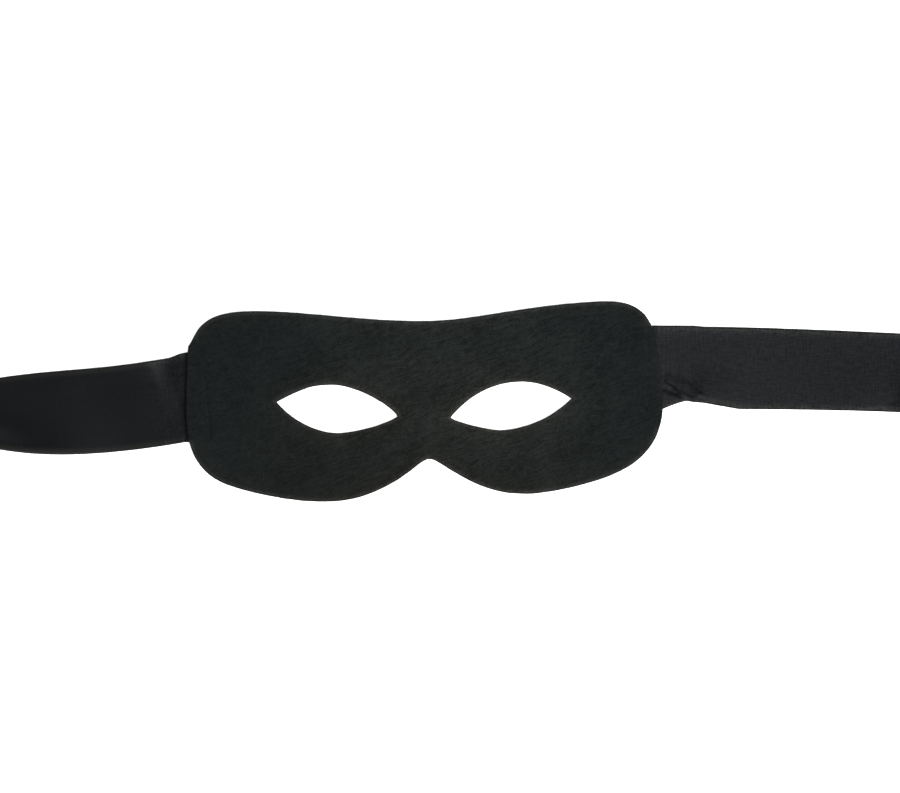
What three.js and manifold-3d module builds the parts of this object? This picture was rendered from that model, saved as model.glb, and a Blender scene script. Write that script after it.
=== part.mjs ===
// Bandit mask: a plain black felt eye mask with two woven ties sewn behind its sides.
//
// Millimetres. The mask lies on its back, face up. +X points to the onlooker's right, +Y to the brow
// and +Z out of the face. The origin is on the underside, in the middle of the felt's outline.

import * as THREE from 'three';
import { mergeVertices } from 'three/addons/utils/BufferGeometryUtils.js';
import Module from 'manifold-3d';

const wasm = await Module();
wasm.setup();

// Driving dimensions

const FELT_THICKNESS = 2;
const TIE_WIDTH = 32;
const TIE_THICKNESS = 0.8;
const TIE_LENGTH = 360;
const CONTACT_GAP = 0.3;

// The felt rides up over the tie ends. Its rise starts and ends at these distances from the middle.
const RISE_START = 58;
const RISE_END = 71;
const RISE_STEPS = 6;

const BEZIER_STEPS = 12;
const TIE_STEPS = 180;

// The cut edge of the felt, clockwise from the top of its left side. An anchor gives its place, the
// heading of the edge there in degrees (a corner has one heading in and another out), and how far its
// two handles reach back and on.
const MASK_EDGE = [
  { at: [-89.2, 23.4], heading: [84.5, 50], reach: [5.1, 6] },
  { at: [-66.2, 36], heading: [0], reach: [19.5, 20] },
  { at: [3.4, 30.4], heading: [0], reach: [24, 17] },
  { at: [68.4, 36], heading: [0], reach: [25, 13.5] },
  { at: [85.8, 27.8], heading: [-59], reach: [3, 5] },
  { at: [90, -2], heading: [-90], reach: [7, 10.5] },
  { at: [79, -25], heading: [-144], reach: [8.5, 13] },
  { at: [38.8, -36], heading: [180], reach: [7, 5.5] },
  { at: [14, -29.2], heading: [149], reach: [12.5, 11.5] },
  { at: [0.8, -21.8], heading: [180], reach: [2.5, 2.5] },
  { at: [-12.2, -29.8], heading: [-151], reach: [7, 14.5] },
  { at: [-39.8, -36.8], heading: [180], reach: [7.5, 13] },
  { at: [-78, -28.4], heading: [152], reach: [6, 10.3] },
  { at: [-90.7, 0.2], heading: [88], reach: [15.8, 12.9] },
];

// The eye holes, counter-clockwise, each from its left corner along the lower lid and back over the
// upper lid.
const LEFT_EYE_EDGE = [
  { at: [-56.6, 1.4], heading: [-153, -54], reach: [14, 7] },
  { at: [-33.2, -11.2], heading: [0], reach: [9.5, 7.5] },
  { at: [-10.6, -5.4], heading: [40, 110], reach: [3.5, 4] },
  { at: [-35.6, 7.4], heading: [180], reach: [9.5, 5.5] },
];
const RIGHT_EYE_EDGE = [
  { at: [9.2, -6.4], heading: [-132, -44], reach: [11.5, 3] },
  { at: [27.8, -11.8], heading: [0], reach: [3, 11.5] },
  { at: [55.8, -0.4], heading: [43, 146], reach: [9, 10.5] },
  { at: [36, 6.6], heading: [180], reach: [4.5, 10.5] },
];

// Each tie starts under the felt at its root and runs out flat in a slight clockwise bend. Its cheek
// edge then lifts until the tie stands on its brow edge, and it ends in a loose clockwise roll. Places
// along it are measured from the root. A tuck draws the right tie's cheek edge in.
const LEFT_TIE = {
  root: [-75.6, 6.7],
  heading: 192.5,
  bendRadius: 300,
  leanStart: 38,
  leanEnd: 154,
  rollStart: 126,
  rollRadius: 26,
  rollPitch: 7.5,
};
const RIGHT_TIE = {
  root: [75, 10.6],
  heading: -1,
  bendRadius: 1900,
  leanStart: 100,
  leanEnd: 168,
  rollStart: 152,
  rollRadius: 25,
  rollPitch: 7.5,
  tuck: { at: 24.7, depth: 3.4, before: 10, after: 20 },
};
const ROLL_LEAD_IN = 30;

// Colours and finishes

const FELT = { color: 0x212423, roughness: 0.96, metalness: 0 };
const WOVEN_TIE = { color: 0x202124, roughness: 0.7, metalness: 0 };

const smoothstep = (value, from, to) => THREE.MathUtils.smoothstep(value, from, to);

/** The point that an anchor's handle reaches: onwards for a positive length, back for a negative one. */
function handle(anchor, degrees, length) {
  const angle = THREE.MathUtils.degToRad(degrees);
  return [anchor.at[0] + length * Math.cos(angle), anchor.at[1] + length * Math.sin(angle)];
}

/** Draws one closed smooth edge through its anchors on a Shape or a Path. */
function drawEdge(path, anchors) {
  path.moveTo(...anchors[0].at);
  anchors.forEach((anchor, i) => {
    const next = anchors[(i + 1) % anchors.length];
    const leaving = handle(anchor, anchor.heading.at(-1), anchor.reach[1]);
    const arriving = handle(next, next.heading[0], -next.reach[0]);
    path.bezierCurveTo(...leaving, ...arriving, ...next.at);
  });
  return path;
}

/** A manifold solid of a closed three.js geometry. */
function toSolid(geometry) {
  const bare = geometry.clone();
  bare.deleteAttribute('normal');
  bare.deleteAttribute('uv');
  const merged = mergeVertices(bare, 1e-5);
  return new wasm.Manifold(new wasm.Mesh({
    numProp: 3,
    vertProperties: new Float32Array(merged.attributes.position.array),
    triVerts: new Uint32Array(merged.index.array),
  }));
}

/** The three.js geometry of a manifold solid. */
function toGeometry(solid) {
  const { vertProperties, triVerts } = solid.getMesh();
  const geometry = new THREE.BufferGeometry();
  geometry.setAttribute('position', new THREE.BufferAttribute(vertProperties, 3));
  geometry.setIndex(new THREE.BufferAttribute(triVerts, 1));
  geometry.computeVertexNormals();
  return geometry;
}

/** Height of the felt's underside at a distance from the middle: flat, then up over the tie ends. */
function undersideHeight(x) {
  return (TIE_THICKNESS + CONTACT_GAP) * smoothstep(Math.abs(x), RISE_START, RISE_END);
}

/** The felt's slab seen from below its lower edge: one thickness everywhere, risen at both sides. */
function drapedSlab() {
  const halfLength = 100;
  const halfDepth = 50;
  const places = [-halfLength];
  for (const side of [-1, 1]) {
    for (let i = 0; i <= RISE_STEPS; i++) {
      const share = side < 0 ? 1 - i / RISE_STEPS : i / RISE_STEPS;
      places.push(side * THREE.MathUtils.lerp(RISE_START, RISE_END, share));
    }
  }
  places.push(halfLength);
  const under = places.map((x) => new THREE.Vector2(x, undersideHeight(x)));
  const over = under.map((point) => new THREE.Vector2(point.x, point.y + FELT_THICKNESS));
  const profile = new THREE.Shape([...under, ...over.reverse()]);
  const slab = new THREE.ExtrudeGeometry(profile, { depth: 2 * halfDepth, bevelEnabled: false });
  slab.translate(0, 0, -halfDepth);
  slab.rotateX(Math.PI / 2);
  return slab;
}

/** The felt: the draped slab, cut to the mask's edge with both eye holes. */
function feltGeometry() {
  const outline = drawEdge(new THREE.Shape(), MASK_EDGE);
  outline.holes.push(drawEdge(new THREE.Path(), LEFT_EYE_EDGE));
  outline.holes.push(drawEdge(new THREE.Path(), RIGHT_EYE_EDGE));
  const height = 3 * FELT_THICKNESS;
  const cutter = new THREE.ExtrudeGeometry(outline, {
    depth: height,
    bevelEnabled: false,
    curveSegments: BEZIER_STEPS,
  });
  cutter.translate(0, 0, -FELT_THICKNESS / 2);
  return toGeometry(toSolid(drapedSlab()).intersect(toSolid(cutter)));
}

/** How sharply a tie turns at a place along it, in radians per millimetre: its bend, then its roll. */
function curvature(tie, along) {
  const wound = Math.max(0, along - tie.rollStart);
  const radius = Math.sqrt(tie.rollRadius ** 2 - (tie.rollPitch * wound) / Math.PI);
  return THREE.MathUtils.lerp(1 / tie.bendRadius, 1 / radius, smoothstep(wound, 0, ROLL_LEAD_IN));
}

/** Where a tie runs on the table: one station for each step, with its place and heading. */
function tieRoute(tie) {
  const step = TIE_LENGTH / TIE_STEPS;
  const stations = [];
  let [x, y] = tie.root;
  let heading = THREE.MathUtils.degToRad(tie.heading);
  for (let i = 0; i <= TIE_STEPS; i++) {
    stations.push({ x, y, heading, along: i * step });
    heading -= curvature(tie, (i + 0.5) * step) * step;
    x += step * Math.cos(heading);
    y += step * Math.sin(heading);
  }
  return stations;
}

/** How far a tie's cheek edge is drawn in at a place along it. */
function tuckDepth(tie, along) {
  if (!tie.tuck) {
    return 0;
  }
  const { at, depth, before, after } = tie.tuck;
  const away = along < at ? (at - along) / before : (along - at) / after;
  return depth * Math.max(0, 1 - away);
}

/** A tie: a flat strip whose sections are set along its route, each with its cheek edge lifted. */
function tieGeometry(tie) {
  const strip = new THREE.BoxGeometry(TIE_LENGTH, TIE_WIDTH, TIE_THICKNESS, TIE_STEPS, 1, 1);
  const route = tieRoute(tie);
  const position = strip.attributes.position;
  const browSide = Math.sign(Math.cos(THREE.MathUtils.degToRad(tie.heading)));
  const point = new THREE.Vector3();
  for (let i = 0; i < position.count; i++) {
    const along = position.getX(i) + TIE_LENGTH / 2;
    const { x, y, heading } = route[Math.round((along / TIE_LENGTH) * TIE_STEPS)];
    const lean = (Math.PI / 2) * smoothstep(along, tie.leanStart, tie.leanEnd);
    const onward = new THREE.Vector3(Math.cos(heading), Math.sin(heading), 0);
    const toBrow = new THREE.Vector3(-Math.sin(heading), Math.cos(heading), 0);
    toBrow.multiplyScalar(browSide * Math.cos(lean)).setZ(-Math.sin(lean));
    const outward = onward.clone().cross(toBrow);
    const onBrowEdge = position.getY(i) > 0;
    const reach = onBrowEdge ? TIE_WIDTH / 2 : tuckDepth(tie, along) - TIE_WIDTH / 2;
    const height = (TIE_WIDTH / 2) * Math.sin(lean) + (TIE_THICKNESS / 2) * Math.cos(lean);
    point.set(x, y, height);
    point.addScaledVector(toBrow, reach);
    point.addScaledVector(outward, position.getZ(i));
    position.setXYZ(i, point.x, point.y, point.z);
  }
  return strip;
}

/** One named piece of the mask in its own finish. */
function piece(name, geometry, finish) {
  const mesh = new THREE.Mesh(geometry, new THREE.MeshStandardMaterial(finish));
  mesh.name = name;
  return mesh;
}

const banditMask = new THREE.Group();
banditMask.add(piece('felt_mask', feltGeometry(), FELT));
banditMask.add(piece('left_tie', tieGeometry(LEFT_TIE), WOVEN_TIE));
banditMask.add(piece('right_tie', tieGeometry(RIGHT_TIE), WOVEN_TIE));

export default banditMask;
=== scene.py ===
"""A black felt bandit mask with two woven ties, lying face up on a pale table.

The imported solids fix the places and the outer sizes, and this script makes the surfaces that show.
Sizes in the classes are in millimetres in the frame of the solids: +X to the onlooker's right, +Y to
the brow, +Z out of the face, with the origin under the middle of the felt. MM turns them into the
metres of Blender's objects where a mesh is made.
"""

import sys
import logging
import math
import random
from dataclasses import dataclass, field
from enum import Enum

import bpy
import numpy as np
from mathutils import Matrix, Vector, noise
from mathutils.geometry import delaunay_2d_cdt


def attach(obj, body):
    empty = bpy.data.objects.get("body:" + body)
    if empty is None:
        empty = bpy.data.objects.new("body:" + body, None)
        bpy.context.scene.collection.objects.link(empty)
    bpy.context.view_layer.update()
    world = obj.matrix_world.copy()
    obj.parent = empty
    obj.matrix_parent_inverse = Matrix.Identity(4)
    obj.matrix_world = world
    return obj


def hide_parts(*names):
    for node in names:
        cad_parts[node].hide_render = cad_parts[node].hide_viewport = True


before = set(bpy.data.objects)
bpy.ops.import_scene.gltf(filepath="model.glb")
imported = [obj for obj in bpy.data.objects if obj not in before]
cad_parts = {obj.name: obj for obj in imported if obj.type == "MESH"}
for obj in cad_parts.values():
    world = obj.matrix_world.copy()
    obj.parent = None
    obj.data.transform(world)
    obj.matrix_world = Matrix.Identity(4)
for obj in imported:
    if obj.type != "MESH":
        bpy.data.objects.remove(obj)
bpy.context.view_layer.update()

MM = 0.001
BODY = "root"
EDGE_DISTANCE = "edge_distance"
CLOTH_MAP = "cloth"
PALENESS = "paleness"

log = logging.getLogger("bandit_mask")

Pair = tuple[float, float]
Colour = tuple[float, float, float, float]
Face = tuple[int, ...]
Mesh = bpy.types.Mesh
Piece = bpy.types.Object
Material = bpy.types.Material
Socket = bpy.types.NodeSocket

SHARP_ANGLE = math.radians(70.0)
SAME_PLACE = 1e-6
WHITE: Colour = (1.0, 1.0, 1.0, 1.0)


class Flank(Enum):
    """How the side of a fold falls away from its line."""

    SOFT = "soft"
    ROUND = "round"
    HOLLOW = "hollow"

    def share(self, away: np.ndarray) -> np.ndarray:
        """The share of the fold's height that is left.

        Args:
            away: How far off the fold's line to read it, as shares of its reach.

        Returns:
            The share at each place.
        """
        if self is Flank.SOFT:
            return 1.0 - smoothstep(away, 0.0, 1.0)
        if self is Flank.ROUND:
            return 1.0 - np.clip(away, 0.0, 1.0) ** 2
        return (1.0 - np.clip(away, 0.0, 1.0)) ** 2


class Side(Enum):
    """The onlooker's side that a tie is sewn to, as the sign of its X."""

    LEFT = -1
    RIGHT = 1


def smoothstep(value: np.ndarray | float, start: float, end: float) -> np.ndarray:
    """A smooth rise from 0 at start to 1 at end.

    Args:
        value: Where to read the rise.
        start: Where it leaves 0.
        end: Where it reaches 1.

    Returns:
        The rise at each value.
    """
    share = np.clip((np.asarray(value, float) - start) / (end - start), 0.0, 1.0)
    return share * share * (3.0 - 2.0 * share)


def ripple(x: np.ndarray, y: np.ndarray, length: float, seed: float) -> np.ndarray:
    """Smooth unevenness between about -1 and 1.

    Args:
        x: First coordinates, in millimetres.
        y: Second coordinates, in millimetres, of the same shape.
        length: The size of one swelling, in millimetres.
        seed: Tells one pattern from another.

    Returns:
        The unevenness at each place, in the shape of x.
    """
    flat = zip(np.ravel(x) / length, np.ravel(y) / length)
    values = [noise.noise(Vector((a, b, seed))) for a, b in flat]
    return np.reshape(values, np.shape(x))


def beside_line(x: np.ndarray, y: np.ndarray, start: Pair,
                end: Pair) -> tuple[np.ndarray, np.ndarray, float]:
    """Where places lie beside a straight line.

    Args:
        x: First coordinates.
        y: Second coordinates.
        start: The line's start.
        end: Its end.

    Returns:
        How far along the line each place lies, how far to its right, and the line's length.
    """
    run = math.dist(start, end)
    ahead_x, ahead_y = (end[0] - start[0]) / run, (end[1] - start[1]) / run
    along = (x - start[0]) * ahead_x + (y - start[1]) * ahead_y
    aside = (x - start[0]) * ahead_y - (y - start[1]) * ahead_x
    return along, aside, run


def new_piece(name: str, mesh: Mesh) -> Piece:
    """Links a mesh to the scene as an object at the origin.

    Args:
        name: The object's name, which the mesh gets too.
        mesh: The mesh, with the piece's place in it.

    Returns:
        The object.
    """
    mesh.name = name
    piece = bpy.data.objects.new(name, mesh)
    bpy.context.scene.collection.objects.link(piece)
    return piece


def smooth_mesh(name: str, points: np.ndarray, faces: list[Face]) -> Mesh:
    """A smooth-shaded mesh of points in millimetres.

    Args:
        name: The mesh's name.
        points: The vertices, one row each.
        faces: The vertex numbers of each face, counter-clockwise from outside.

    Returns:
        The mesh, in metres, with sharp edges kept sharp.
    """
    mesh = bpy.data.meshes.new(name)
    mesh.from_pydata((points * MM).tolist(), [], faces)
    mesh.shade_smooth()
    mesh.set_sharp_from_angle(angle=SHARP_ANGLE)
    return mesh


def add_point_values(mesh: Mesh, name: str, values: np.ndarray) -> None:
    """Stores one number for each vertex as a named attribute."""
    layer = mesh.attributes.new(name, "FLOAT", "POINT")
    layer.data.foreach_set("value", np.asarray(values, np.float32).ravel())


# Node trees


@dataclass
class Graph:
    """A node tree being built, with a short call for each step that the finishes share.

    Attributes:
        tree: The node tree.
    """

    tree: bpy.types.NodeTree

    def add(self, kind: str, sources: dict | None = None, **settings: object) -> bpy.types.Node:
        """Adds a node.

        Args:
            kind: The node's type.
            sources: What feeds its inputs, by name or number: a socket to link, or a value.
            settings: The node's own properties.

        Returns:
            The new node.
        """
        node = self.tree.nodes.new(kind)
        for name, value in settings.items():
            setattr(node, name, value)
        for name, source in (sources or {}).items():
            if isinstance(source, Socket):
                self.tree.links.new(source, node.inputs[name])
            else:
                node.inputs[name].default_value = source
        return node

    def math(self, operation: str, first: object, second: object = 0.0) -> Socket:
        """One Math node's result for two values or sockets."""
        return self.add("ShaderNodeMath", {0: first, 1: second}, operation=operation).outputs[0]

    def mixture(self, *shares: tuple[Socket, float]) -> Socket:
        """The sum of some values, each times its share.

        Args:
            shares: The values, each with its share.

        Returns:
            The sum.
        """
        total = self.math("MULTIPLY", *shares[0])
        for value, share in shares[1:]:
            sources = {0: value, 1: share, 2: total}
            total = self.add("ShaderNodeMath", sources, operation="MULTIPLY_ADD").outputs[0]
        return total

    def spread(self, value: Socket, low: float, high: float,
               start: float = 0.0, end: float = 1.0) -> Socket:
        """A value moved smoothly from one range into another, and cut off at its ends.

        Args:
            value: The value.
            low: The start of its range.
            high: The end of it.
            start: What the result is at low.
            end: What it is at high.

        Returns:
            The result.
        """
        sources = {"Value": value, "From Min": low, "From Max": high, "To Min": start, "To Max": end}
        node = self.add("ShaderNodeMapRange", sources, interpolation_type="SMOOTHSTEP")
        return node.outputs["Result"]

    def blend(self, factor: Socket, first: object, second: object) -> Socket:
        """A colour between two colours."""
        node = self.add("ShaderNodeMix", {0: factor, 6: first, 7: second}, data_type="RGBA")
        return node.outputs[2]

    def brighten(self, colour: object, amount: Socket) -> Socket:
        """A colour times a number."""
        node = self.add("ShaderNodeVectorMath", {0: colour, "Scale": amount}, operation="SCALE")
        return node.outputs[0]

    def tinted(self, colour: Socket, tint: Socket) -> Socket:
        """The product of two colours."""
        return self.add("ShaderNodeVectorMath", {0: colour, 1: tint}, operation="MULTIPLY").outputs[0]

    def grain(self, place: Socket, size: float, detail: float = 2.0) -> Socket:
        """Even noise whose patches are about size millimetres across."""
        sources = {"Vector": place, "Scale": 1.0 / (size * MM), "Detail": detail}
        return self.add("ShaderNodeTexNoise", sources).outputs[0]

    def streaks(self, place: Socket, degrees: float, length: float,
                breadth: float) -> Socket:
        """Noise drawn out into streaks.

        Args:
            place: The coordinates, in metres.
            degrees: The streaks' direction, counter-clockwise from the first axis.
            length: Their length in millimetres.
            breadth: Their breadth in millimetres.

        Returns:
            A value about 0.5 that rises on a streak.
        """
        turned = self.add("ShaderNodeMapping", {
            "Vector": place,
            "Rotation": (0.0, 0.0, math.radians(degrees)),
            "Scale": (length * MM, breadth * MM, breadth * MM),
        }, vector_type="TEXTURE")
        sources = {"Vector": turned.outputs[0], "Scale": 1.0, "Detail": 1.0}
        return self.add("ShaderNodeTexNoise", sources).outputs[0]

    def bent(self, place: Socket, size: float, shift: float) -> Socket:
        """Coordinates pushed about smoothly.

        Args:
            place: The coordinates, in metres.
            size: About how broad the swirls are, in millimetres.
            shift: Twice the furthest that a place is pushed, in millimetres.

        Returns:
            The pushed coordinates.
        """
        sources = {"Vector": place, "Scale": 1.0 / (size * MM), "Detail": 0.0}
        swirl = self.add("ShaderNodeTexNoise", sources).outputs["Color"]
        sources = {0: swirl, 1: (shift * MM, shift * MM, 0.0), 2: place}
        return self.add("ShaderNodeVectorMath", sources, operation="MULTIPLY_ADD").outputs[0]

    def off_centre(self, place: Socket, centre: Pair, reach: Pair) -> Socket:
        """How far places lie from a centre, as a share of a reach along X and another along Y.

        Args:
            place: The coordinates, in metres.
            centre: The centre in millimetres.
            reach: The two reaches in millimetres.

        Returns:
            The distance, which is 1 on an ellipse round the centre.
        """
        shares = self.add("ShaderNodeMapping", {
            "Vector": place,
            "Location": (centre[0] * MM, centre[1] * MM, 0.0),
            "Scale": (reach[0] * MM, reach[1] * MM, 1.0),
        }, vector_type="TEXTURE").outputs[0]
        return self.add("ShaderNodeVectorMath", {0: shares}, operation="LENGTH").outputs["Value"]

    def fading_tint(self, value: Socket, span: Pair, tint: Colour) -> Socket:
        """A tint that fades to plain white as a value in metres crosses a span in millimetres."""
        gone = self.spread(value, span[0] * MM, span[1] * MM)
        return self.blend(gone, tint, WHITE)

    def attribute(self, name: str) -> Socket:
        """A number stored on the mesh."""
        return self.add("ShaderNodeAttribute", attribute_name=name).outputs["Fac"]

    def bump(self, height: Socket, depth: float) -> Socket:
        """A normal from a height of 0 to 1, depth millimetres deep."""
        return self.add("ShaderNodeBump", {"Height": height, "Distance": depth * MM}).outputs[0]


def new_material(name: str, shader: dict[str, object]) -> tuple[Material, Graph]:
    """A material with one Principled shader.

    Args:
        name: The material's name.
        shader: The shader's own values, by socket name.

    Returns:
        The material and its tree, ready for more nodes.
    """
    material = bpy.data.materials.new(name)
    material.use_nodes = True
    graph = Graph(material.node_tree)
    for socket, value in shader.items():
        material.node_tree.nodes["Principled BSDF"].inputs[socket].default_value = value
    return material, graph


def dress_surface(graph: Graph, colour: Socket, normal: Socket) -> None:
    """Links a worked colour and normal to the Principled shader.

    Args:
        graph: The material's tree.
        colour: What feeds the base colour.
        normal: What feeds the normal.
    """
    shader = graph.tree.nodes["Principled BSDF"]
    graph.tree.links.new(colour, shader.inputs["Base Color"])
    graph.tree.links.new(normal, shader.inputs["Normal"])


# Finishes


@dataclass(frozen=True)
class FeltFinish:
    """Pressed felt: matt and nearly black, its fibres mostly lying one way, with a painted highlight
    along its cut edges and a painted pool of light over its middle.

    Attributes:
        dark: The colour between the fibres.
        light: The colour of the fibres on top.
        tones: The tones that give the dark and the light colour.
        middle_tone: The tone between them, which the contrast leaves as it is.
        lay: The direction that most fibres run in, in degrees.
        layers: The layers of fibres: each one's direction off the lay in degrees, the length and the
            breadth of its streaks, and its share.
        swirl: How broad the swirls are that bend the fibres, and how strong they are.
        grains: How broad the specks of the fine grain, the tufts and the clouds are.
        shares: The shares of the fibres, the fine grain, the tufts and the clouds in the tone.
        relief: How deep the fibres' texture is.
        relief_shares: The shares of the fibres and the fine grain in it.
        cut: How far in the cut itself reaches.
        cut_highlight_gain: How much brighter than the rim it is: a painted highlight where the cut
            edge catches the light.
        rim: Where the paler band along a cut edge starts and ends its fading: a painted highlight where
            the rounded edge catches the light.
        rim_highlight_tint: What the colour is multiplied by there: paler and less green.
        worn: Where a broader band, only faintly paler and warmer, starts and ends its fading.
        worn_tint: What the colour is multiplied by there.
        light_pool: The middle of a painted pool of light, where the felt is painted brighter as the
        lamps light it most.
        light_pool_reach: How far that part reaches along X and along Y.
        light_pool_gain: How bright its middle is, and how bright what lies outside it.
        gain_span: Where the one gives way to the other, as shares of the reach.
        contrast: How strongly the fibres stand out in the middle of the painted pool of light, and
        outside it.
        contrast_span: Where the one gives way to the other, as shares of the reach.
        warm: The middle of the part with the warmest colour.
        warm_reach: How far that part reaches along X and along Y.
        warm_tint: What the colour is multiplied by in its middle.
        cool_tint: What the colour is multiplied by outside it.
        warm_span: Where the one gives way to the other, as shares of the reach.
    """

    dark: Colour = (0.0037, 0.0044, 0.0042, 1.0)
    light: Colour = (0.0114, 0.0134, 0.0127, 1.0)
    tones: Pair = (0.36, 0.66)
    middle_tone: float = 0.51
    lay: float = 17.0
    layers: tuple[tuple[float, float, float, float], ...] = (
        (0.0, 6.8, 0.45, 0.4),
        (38.0, 2.04, 0.405, 0.3),
        (-50.0, 1.7, 0.36, 0.3),
    )
    swirl: Pair = (9.0, 4.0)
    grains: tuple[float, float, float] = (0.5, 2.6, 17.0)
    shares: tuple[float, float, float, float] = (0.58, 0.13, 0.13, 0.16)
    relief: float = 0.105
    relief_shares: Pair = (0.8, 0.4)
    cut: float = 0.4
    cut_highlight_gain: float = 1.7
    rim: Pair = (0.8, 2.0)
    rim_highlight_tint: Colour = (1.80, 1.68, 1.65, 1.0)
    worn: Pair = (1.5, 8.0)
    worn_tint: Colour = (1.19, 1.12, 1.10, 1.0)
    light_pool: Pair = (14.0, 8.0)
    light_pool_reach: Pair = (76.0, 60.0)
    light_pool_gain: Pair = (1.27, 0.93)
    gain_span: Pair = (0.2, 1.15)
    contrast: Pair = (1.05, 0.66)
    contrast_span: Pair = (0.5, 1.15)
    warm: Pair = (0.0, -20.0)
    warm_reach: Pair = (80.0, 60.0)
    warm_tint: Colour = (1.04, 1.0, 0.96, 1.0)
    cool_tint: Colour = (0.95, 1.0, 1.03, 1.0)
    warm_span: Pair = (0.3, 1.1)

    def material(self) -> Material:
        """Builds the material from curving layers of fibres, a fine grain, tufts and clouds, with a
        painted highlight along the cut edges and a painted pool of light over the middle.

        Returns:
            The material.
        """
        material, graph = new_material("felt", {
            "Roughness": 0.95,
            "Specular IOR Level": 0.03,
        })
        place = graph.add("ShaderNodeTexCoord").outputs["Object"]
        curving = graph.bent(place, *self.swirl)
        fibres = graph.mixture(*(
            (graph.streaks(curving, self.lay + turn, length, breadth), share)
            for turn, length, breadth, share in self.layers
        ))
        fine, tufts, clouds = (graph.grain(place, size) for size in self.grains)
        # Painted pool of light: the felt is painted brighter about a middle where the lamps light it
        # most, and darker outside it.
        from_light_pool = graph.off_centre(place, self.light_pool, self.light_pool_reach)
        contrast = graph.spread(from_light_pool, *self.contrast_span, *self.contrast)
        tone = graph.mixture(*zip((fibres, fine, tufts, clouds), self.shares))
        level = graph.math("MULTIPLY", graph.math("SUBTRACT", tone, self.middle_tone), contrast)
        tone = graph.math("ADD", level, self.middle_tone)
        colour = graph.blend(graph.spread(tone, *self.tones), self.dark, self.light)
        cool = graph.spread(graph.off_centre(place, self.warm, self.warm_reach), *self.warm_span)
        colour = graph.tinted(colour, graph.blend(cool, self.warm_tint, self.cool_tint))
        inside = graph.attribute(EDGE_DISTANCE)
        # Painted highlight along the cut edges, where the rounded edge catches the light; it is fainter
        # on the eyes' lower lids and gone over the ties.
        colour = graph.tinted(colour, graph.fading_tint(inside, self.rim, self.rim_highlight_tint))
        colour = graph.tinted(colour, graph.fading_tint(inside, self.worn, self.worn_tint))
        # Painted highlight on the cut itself, times the painted pool of light.
        cut = graph.spread(inside, 0.0, self.cut * MM, self.cut_highlight_gain, 1.0)
        light_pool = graph.spread(from_light_pool, *self.gain_span, *self.light_pool_gain)
        colour = graph.brighten(colour, graph.math("MULTIPLY", cut, light_pool))
        height = graph.mixture(*zip((fibres, fine), self.relief_shares))
        height = graph.math("MULTIPLY", height, contrast)
        dress_surface(graph, colour, graph.bump(height, self.relief))
        return material


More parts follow.
